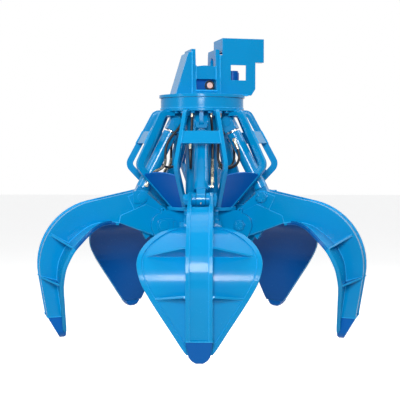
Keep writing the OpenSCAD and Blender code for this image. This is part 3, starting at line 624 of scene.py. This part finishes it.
def lines_mesh(name, lines):
    """A mesh of edges only, one chain for each line."""
    mesh = bpy.data.meshes.new(name)
    points, edges = [], []
    for line in lines:
        first = len(points)
        points += [tuple(p) for p in line]
        edges += [(first + k, first + k + 1) for k in range(len(line) - 1)]
    mesh.from_pydata(points, edges, [])
    return mesh


# Painted highlight: the weld colours are paler than the plates' enamel.
weld_highlight_paint = enamel("weld_enamel", (0.01, 0.38, 0.78, 1), (0.16, 0.64, 0.93, 1), gloss=0.16,
                    edge=0.001)
scales, scale_keys = weld_tree()


def weld(name, body, lines, leg=WELD_LEG, pitch=WELD_PITCH, seed=7):
    """The fillet welds of one body, along lines of places in the frame."""
    piece = run_tree(name, scales, scale_keys, lines_mesh(name, lines),
                     {"Leg": leg, "Pitch": pitch, "Seed": seed, "Material": weld_highlight_paint})
    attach(piece, body)
    return piece


# Hanger head
# Two thick ears on the turning flange carry the crane's link, braced by a buttress on the
# left and by plates between them. The guard on the right hides the slewing motor.
dress(cyan_enamel, "hanger_ears", "ear_buttress", "cross_plates", "motor_guard", "head_flange")
# The slew motor and the rotary union take the darkened enamel, which is painted shade.
dress(shaded_enamel, "slew_motor", "rotary_union")
HEAD_TURN = Matrix.Rotation(math.radians(15), 4, "Z")
TO_THE_FRONT = HEAD_TURN @ Vector((0, -1, 0))
FLANGE_UP = 1.608
EAR_IN = 0.070
EAR_OUT = 0.098
EAR_FRONT = 0.130
EAR_BACK = 0.135
BUTTRESS_OUT = 0.211
BUTTRESS_TOP = 1.889
BUTTRESS_FACES = (-0.125, -0.105, 0.070, 0.090)
ARCHED_PLATE_FACES = (-0.115, -0.095)
ARCHED_PLATE_UP = (1.714, 1.797)
SILL_FACE = -0.1252
SILL_TOP = 1.636
REAR_PLATE_FACES = (0.090, 0.1105)
GUARD_TOP = 1.872
GUARD_FACES = [(-0.1124, 0.292), (-0.0995, 0.270)]
PROUD = 0.0005
PORT_OUT = 0.036
PORT_UP = 1.675
PLUG_SEAT = -0.0741
SEAL_SEAT = -0.0651
PLUG = [(0, 0), (0.0205, 0), (0.0205, 0.0020), (0.0195, 0.0028), (0.0105, 0.0028),
        (0.0098, 0.0006), (0, 0.0006)]
SEAL = [(0.0335, 0), (0.0335, 0.0030), (0.0315, 0.0046), (0.0245, 0.0046), (0.0225, 0.0030),
        (0.0225, 0), (0.0335, 0)]
MOTOR_OUT = 0.216
MOTOR_FOOT = 0.070
MOTOR_BOLT_CIRCLE = 0.0515
MOTOR_BOLT = [(0, 0), (0.00625, 0), (0.00625, 0.00425), (0.0056, 0.0050), (0, 0.0050)]


def at_head(*places):
    """Places (x, y, up) from the slewing axis, in the head's turned frame, above the tips."""
    return [HEAD_TURN @ Vector((x, y, up + TIP_UP)) for x, y, up in places]


def head_seams():
    """Weld lines of the ears, the buttress, the cross plates and the guard."""
    lines = []
    for s in (-1, 1):
        corners = [(s * EAR_IN, -EAR_FRONT, FLANGE_UP), (s * EAR_OUT, -EAR_FRONT, FLANGE_UP),
                   (s * EAR_OUT, EAR_BACK, FLANGE_UP), (s * EAR_IN, EAR_BACK, FLANGE_UP)]
        lines.append(at_head(*corners, corners[0]))
    for y in BUTTRESS_FACES:
        lines.append(at_head((-EAR_OUT, y, FLANGE_UP), (-BUTTRESS_OUT, y, FLANGE_UP)))
        lines.append(at_head((-EAR_OUT - PROUD, y, FLANGE_UP),
                             (-EAR_OUT - PROUD, y, BUTTRESS_TOP)))
    for y in ARCHED_PLATE_FACES:
        for s in (-1, 1):
            lines.append(at_head(*((s * EAR_IN, y, up) for up in ARCHED_PLATE_UP)))
    for up in (SILL_TOP, FLANGE_UP):
        lines.append(at_head((-EAR_IN, SILL_FACE, up), (EAR_IN, SILL_FACE, up)))
    for y in REAR_PLATE_FACES:
        lines.append(at_head((-EAR_IN, y, FLANGE_UP), (EAR_IN, y, FLANGE_UP)))
    for y, end in GUARD_FACES:
        lines.append(at_head((EAR_OUT, y, FLANGE_UP), (end, y, FLANGE_UP)))
    front = GUARD_FACES[0][0]
    lines.append(at_head((EAR_OUT + PROUD, front, FLANGE_UP), (EAR_OUT + PROUD, front, GUARD_TOP)))
    return lines


weld("head_welds", "head", head_seams(), leg=0.0065, pitch=0.0075, seed=3)

motor_foot, plug_seat, seal_seat = at_head((MOTOR_OUT, 0, FLANGE_UP + MOTOR_FOOT),
                                           (PORT_OUT, PLUG_SEAT, PORT_UP),
                                           (PORT_OUT, SEAL_SEAT, PORT_UP))
motor_bolts = []
for k in range(4):
    turn = HEAD_TURN @ Matrix.Rotation(math.radians(45 + 90 * k), 4, "Z")
    seat = (Matrix.Translation(motor_foot) @ turn
            @ Matrix.Translation((MOTOR_BOLT_CIRCLE, 0, 0)))
    motor_bolts.append(turned(MOTOR_BOLT, 6, seat))
make("motor_bolts", motor_bolts, zinc, "head")
plug_metal = metal("plug_metal", (0.78, 0.52, 0.46, 1), (0.55, 0.34, 0.30, 1), 0.30)
make("union_plug", [turned(PLUG, 40, facing(plug_seat, TO_THE_FRONT))], plug_metal, "head")
make("union_seal", [turned(SEAL, 48, facing(seal_seat, TO_THE_FRONT))], rubber, "head")


# Cage and slewing ring
# Ten bent straps hang from the thick top plate, paired by a band in each bay and closed by
# dished panels between the bays. A tube runs down the middle. All of it is welded.
dress(cyan_enamel, "slew_drum", "top_plate", "top_plate_bolts", "rod_lugs", "cage_straps",
      "cage_bands", "centre_column", "hub", "hub_plate", "hinge_pins", "hinge_nuts", "rod_pins")
# The bowl panels take the darkened enamel, which is painted shade.
dress(shaded_enamel, "bowl_panels")
dress(greased_steel, "ring_gear", "bearing_outer_race", "bearing_inner_race", "slew_pinion")
STRAP_PLACE = (Matrix.Translation((0, 0.087, 0)) @ Matrix.Rotation(math.radians(13.1), 4, "Z")
               @ Matrix.Rotation(math.radians(2.06), 4, "X"))
STRAP_HALF = 0.0125
SHOULDER = Vector((0.3131, 1.510))
ELBOW = Vector((0.515, 1.134))
BAND_SHARES = (0.598, 0.389)
STRAP_FOOT = (0.198, 0.258)
STRAP_HEAD = (0.215, 0.272)
PLATE_UP = 0.857
TOP_PLATE_LOW = 1.497
DRUM_LOW = 1.517
DRUM_RADIUS = 0.2842
COLUMN_RADIUS = 0.114
LUG_HALF = 0.014
LUG_REACH = (0.145, 0.229)


def ring_line(radius, up, steps=90):
    """A closed level line round the slewing axis, above the tips."""
    turns = [2 * math.pi * k / steps for k in range(steps + 1)]
    return [(radius * math.cos(a), radius * math.sin(a), up + TIP_UP) for a in turns]


def strap_line(side, hand, *places):
    """Places (x, y, up) in the plane of one strap, in the frame."""
    line = []
    for x, y, up in places:
        place = STRAP_PLACE @ Vector((x, y, up))
        line.append(bay(side) @ Vector((place.x, hand * place.y, place.z + TIP_UP)))
    return line


def cage_seams():
    """Weld lines of the column, the drum, and each strap with its band and its rod lug."""
    lines = [ring_line(COLUMN_RADIUS, PLATE_UP), ring_line(COLUMN_RADIUS, TOP_PLATE_LOW),
             ring_line(DRUM_RADIUS, DRUM_LOW)]
    for side in SIDES:
        for hand in (-1, 1):
            ends = [SHOULDER.lerp(ELBOW, share) for share in BAND_SHARES]
            lines.append(strap_line(side, hand, *((e.x, -STRAP_HALF, e.y) for e in ends)))
            for y in (-STRAP_HALF, STRAP_HALF):
                for reach, up in ((STRAP_FOOT, PLATE_UP), (STRAP_HEAD, TOP_PLATE_LOW)):
                    lines.append(strap_line(side, hand, *((x, y, up) for x in reach)))
            for x in STRAP_FOOT:
                lines.append(strap_line(side, hand, (x, -STRAP_HALF, PLATE_UP),
                                        (x, STRAP_HALF, PLATE_UP)))
            lines.append([bay(side) @ Vector((x, hand * LUG_HALF, TOP_PLATE_LOW + TIP_UP))
                          for x in LUG_REACH])
    return lines


weld("cage_welds", "cage", cage_seams(), seed=5)


# Cylinders
# Each cylinder is a painted tube with a chromed rod that comes out of a gland at its mouth.
# The fork on the rod and the barrel's eye are greased through nipples.
ROD_RADIUS = 0.025
FORK_DROP = 0.068
MOUTH_DROP = 0.085
ELBOW_FROM = 0.0585
EYE_RADIUS = 0.045
NIPPLE_WAY = (0.89, 0, -0.46)
SUNK = 0.0004
WIPER_BORE = ROD_RADIUS + 0.0004
WIPER = [(WIPER_BORE, 0), (WIPER_BORE, -0.0040), (0.0275, -0.0050), (0.0330, -0.0030),
         (0.0335, 0), (WIPER_BORE, 0)]
NIPPLE = [(0, 0), (0.0055, 0), (0.0055, 0.0040), (0.0034, 0.0050), (0.0030, 0.0085),
          (0.0042, 0.0100), (0.0042, 0.0125), (0.0020, 0.0142), (0, 0.0142)]
CHROME = (0.82, 0.83, 0.86, 1)
CHROME_GLOSS = 0.08
PORT_ZINC = (0.74, 0.68, 0.52, 1)
PORT_GLOSS = 0.28


def masked_metal(name, side, axis, start, end, colour, gloss):
    """Enamel that gives way to bare metal, between two distances along an axis of the frame
    from the rod pin, on both sides of it."""
    shader = Shader(name)
    from_pin = shader.node("ShaderNodeVectorMath", {"operation": "SUBTRACT"},
                           {0: shader.place, 1: tuple(bay(side) @ ROD_PIN)})
    bare = shader.dot(from_pin, tuple(axis)).math("ABSOLUTE").between(start, end)
    cloud = shader.noise(3.5, 4).between(0.3, 0.7)
    tint = shader.mixed(bare, shader.mixed(cloud * 0.3, CYAN, darker(CYAN)), colour)
    rough = 0.13 * (1 - bare) + bare * gloss + cloud * 0.05
    bump = shader.bump(shader.noise(160, 2), 0.03, 0.001, shader.rounded(0.004, 6))
    return shader.finish(shader.surface(Base_Color=tint, Roughness=rough, Metallic=bare,
                                        Normal=bump, Specular_IOR_Level=0.30))


for side in SIDES:
    down = bay(side) @ slide_direction(side)
    sideways = bay(side) @ Vector((0, 1, 0))
    dress(masked_metal(side + "_rod_finish", side, down, FORK_DROP + 0.0003, FORK_DROP + 0.0008,
                       CHROME, CHROME_GLOSS), side + "_rod")
    dress(masked_metal(side + "_barrel_finish", side, sideways, ELBOW_FROM, ELBOW_FROM + 0.001,
                       PORT_ZINC, PORT_GLOSS), side + "_barrel")
    mouth = facing(bay(side) @ ROD_PIN + MOUTH_DROP * down, down)
    make(side + "_wiper", [turned(WIPER, 40, mouth)], rubber, side + "_barrel_body")
    away = (bay(side) @ Vector(NIPPLE_WAY)).normalized()
    eye = tine_place(side) @ Vector((LEVER[0], 0, LEVER[1]))
    nipple = facing(eye + (EYE_RADIUS - SUNK) * away, away)
    make(side + "_nipple", [turned(NIPPLE, 16, nipple)], zinc, side + "_barrel_body")


# Tines
# Each tine is welded from plates round a curved shell, and a cast tooth closes its tip. The inside
# of a shell and the tooth are a darker blue, which is painted shade.
# The tooth's darker blue is painted shade, as the tooth looks downwards.
SHADED_TOOTH_BLUE = (0.0, 0.125, 0.470, 1)
TOOTH_PALE = (0.0, 0.20, 0.60, 1)
# Painted shade for the inward faces of the shells.
INSIDE_SHADE_BLUE = (0.003, 0.095, 0.360, 1)
tooth_enamel = enamel("tooth_enamel", SHADED_TOOTH_BLUE, TOOTH_PALE, gloss=0.34, edge=0.006)
for side in SIDES:
    out = bay(side) @ Vector((1, 0, 0))
    shell_enamel = enamel(side + "_shell_enamel", CYAN, CYAN_PALE, inside=INSIDE_SHADE_BLUE,
                          outwards=out)
    dress(cyan_enamel, side + "_beam", side + "_pin_ends")
    dress(shell_enamel, side + "_shell")
    dress(tooth_enamel, side + "_tooth")


# Tine seams
# A tine is a box beam on a curved shell. Its welds follow the shell along the beam, the sunk
# cover, the doubling plates round both pins, the ribs, the rim strip and the cast tooth.
TINE_REACH = 0.680
TINE_DROP = HINGE_UP - TIP_UP
BEAM_HALF = 0.077
COVER_HALF = 0.057
BACK_CENTRE = (0.391, -0.2551)
BACK_RADIUS = 0.430
BACK_ENDS = (-9, 108)
COVER_RECESS = 0.008
TOOTH_TOP = 0.149 - TINE_DROP
SHELL_HALF = 0.367
RIM_WIDTH = 0.028
RIB_HALF = 0.0075
RIB_REACH = 0.96
HINGE_BOSS = 0.082
BOSS_ENDS = (-105, -68)
SHIELD_RADIUS = 0.038
SHIELD_ENDS = (200, 70)
SHELL_SHARES = [  # of the reach, of the drop, of the half width beyond the beam
    (0.434, 0.027, 0), (0.507, 0.037, 0.03), (0.613, 0.036, 0.29), (0.709, 0.012, 0.54),
    (0.787, -0.030, 0.73), (0.860, -0.082, 0.88), (0.935, -0.147, 0.975), (0.982, -0.211, 1),
    (1.021, -0.294, 0.96), (1.038, -0.371, 0.885), (1.043, -0.490, 0.715),
    (1.025, -0.622, 0.51), (1.006, -0.755, 0.30), (0.987, -0.884, 0.10), (0.981, -0.939, 0)]
RIB_SHARES = [(0.9265, -0.154, 1.0956, -0.063, 0.83), (1.0426, -0.479, 1.1956, -0.435, 0.62)]
DOUBLER_SHARES = [(2.03, 0.126), (1.945, 0.363), (0.766, 0.732)]  # of the lever
SHIELD_SHARES = [(1.60, 1.02), (1.32, 0.57), (0.82, 0.82)]  # of the lever


def width(share):
    """The half width of the shell, as a share beyond the beam's."""
    return BEAM_HALF + share * (SHELL_HALF - BEAM_HALF)


def of_lever(shares):
    """Places (x, z) from the hinge, given as shares of the lever."""
    return [(x * LEVER[0], z * LEVER[1]) for x, z in shares]


def heel():
    """How far out the back of the beam meets the top of the tooth, straight on from its arc."""
    tilt = math.radians(BACK_ENDS[0])
    end_x = BACK_CENTRE[0] + BACK_RADIUS * math.cos(tilt)
    end_z = BACK_CENTRE[1] + BACK_RADIUS * math.sin(tilt)
    return end_x + (end_z - TOOTH_TOP) * math.tan(tilt)


def rib_seams(rib, s):
    """Both sides of one rib, along the shell and up the side of the beam."""
    near_x, near_z, far_x, far_z, share = rib
    near = Vector((near_x * TINE_REACH, s * BEAM_HALF, near_z * TINE_DROP))
    far = Vector((far_x * TINE_REACH, s * BEAM_HALF, far_z * TINE_DROP))
    tip = Vector((near.x, s * width(RIB_REACH * share), near.z))
    way = far - near
    across = Vector((way.z, 0, -way.x)).normalized() * RIB_HALF
    return [[tip + hand * across, near + hand * across, far + hand * across]
            for hand in (-1, 1)]


def tine_seams():
    """Weld lines of one tine: main ones, and the finer one inside the rim strip."""
    shell = curve_spline([(a * TINE_REACH, width(w), b * TINE_DROP)
                          for a, b, w in SHELL_SHARES], 4)
    above = [p for p in shell if p.z > TOOTH_TOP]
    root = above[-1].x
    cover = arc(BACK_CENTRE, BACK_RADIUS - COVER_RECESS, *BACK_ENDS, 40)
    boss = arc((0, 0), HINGE_BOSS, *BOSS_ENDS, 4) + of_lever(DOUBLER_SHARES)
    shield = of_lever(SHIELD_SHARES)
    shield += arc(LEVER, SHIELD_RADIUS, *SHIELD_ENDS, 10) + shield[:1]
    lines, fine = [], []
    lines.append([(root, -BEAM_HALF, TOOTH_TOP), (heel(), -BEAM_HALF, TOOTH_TOP),
                  (heel(), BEAM_HALF, TOOTH_TOP), (root, BEAM_HALF, TOOTH_TOP)])
    for s in (-1, 1):
        lines.append([(p.x, s * BEAM_HALF, p.z) for p in above])
        lines.append([(heel() - COVER_RECESS, s * COVER_HALF, TOOTH_TOP)]
                     + [(x, s * COVER_HALF, z) for x, z in cover])
        lines.append([(x, s * BEAM_HALF, z) for x, z in boss])
        lines.append([(x, s * BEAM_HALF, z) for x, z in shield])
        for rib in RIB_SHARES:
            lines += rib_seams(rib, s)
        fine.append([(p.x, s * max(BEAM_HALF, p.y - 1.25 * RIM_WIDTH), p.z)
                     for p in shell if p.y > BEAM_HALF + 1.3 * RIM_WIDTH])
    return lines, fine


tine_lines, rim_lines = tine_seams()
for number, side in enumerate(SIDES):
    turn = tine_place(side)
    weld(side + "_tine_welds", side + "_tine",
         [[turn @ Vector(p) for p in line] for line in tine_lines], seed=11 + number)
    weld(side + "_rim_welds", side + "_tine",
         [[turn @ Vector(p) for p in line] for line in rim_lines], leg=0.0025, pitch=0.0042,
         seed=31 + number)
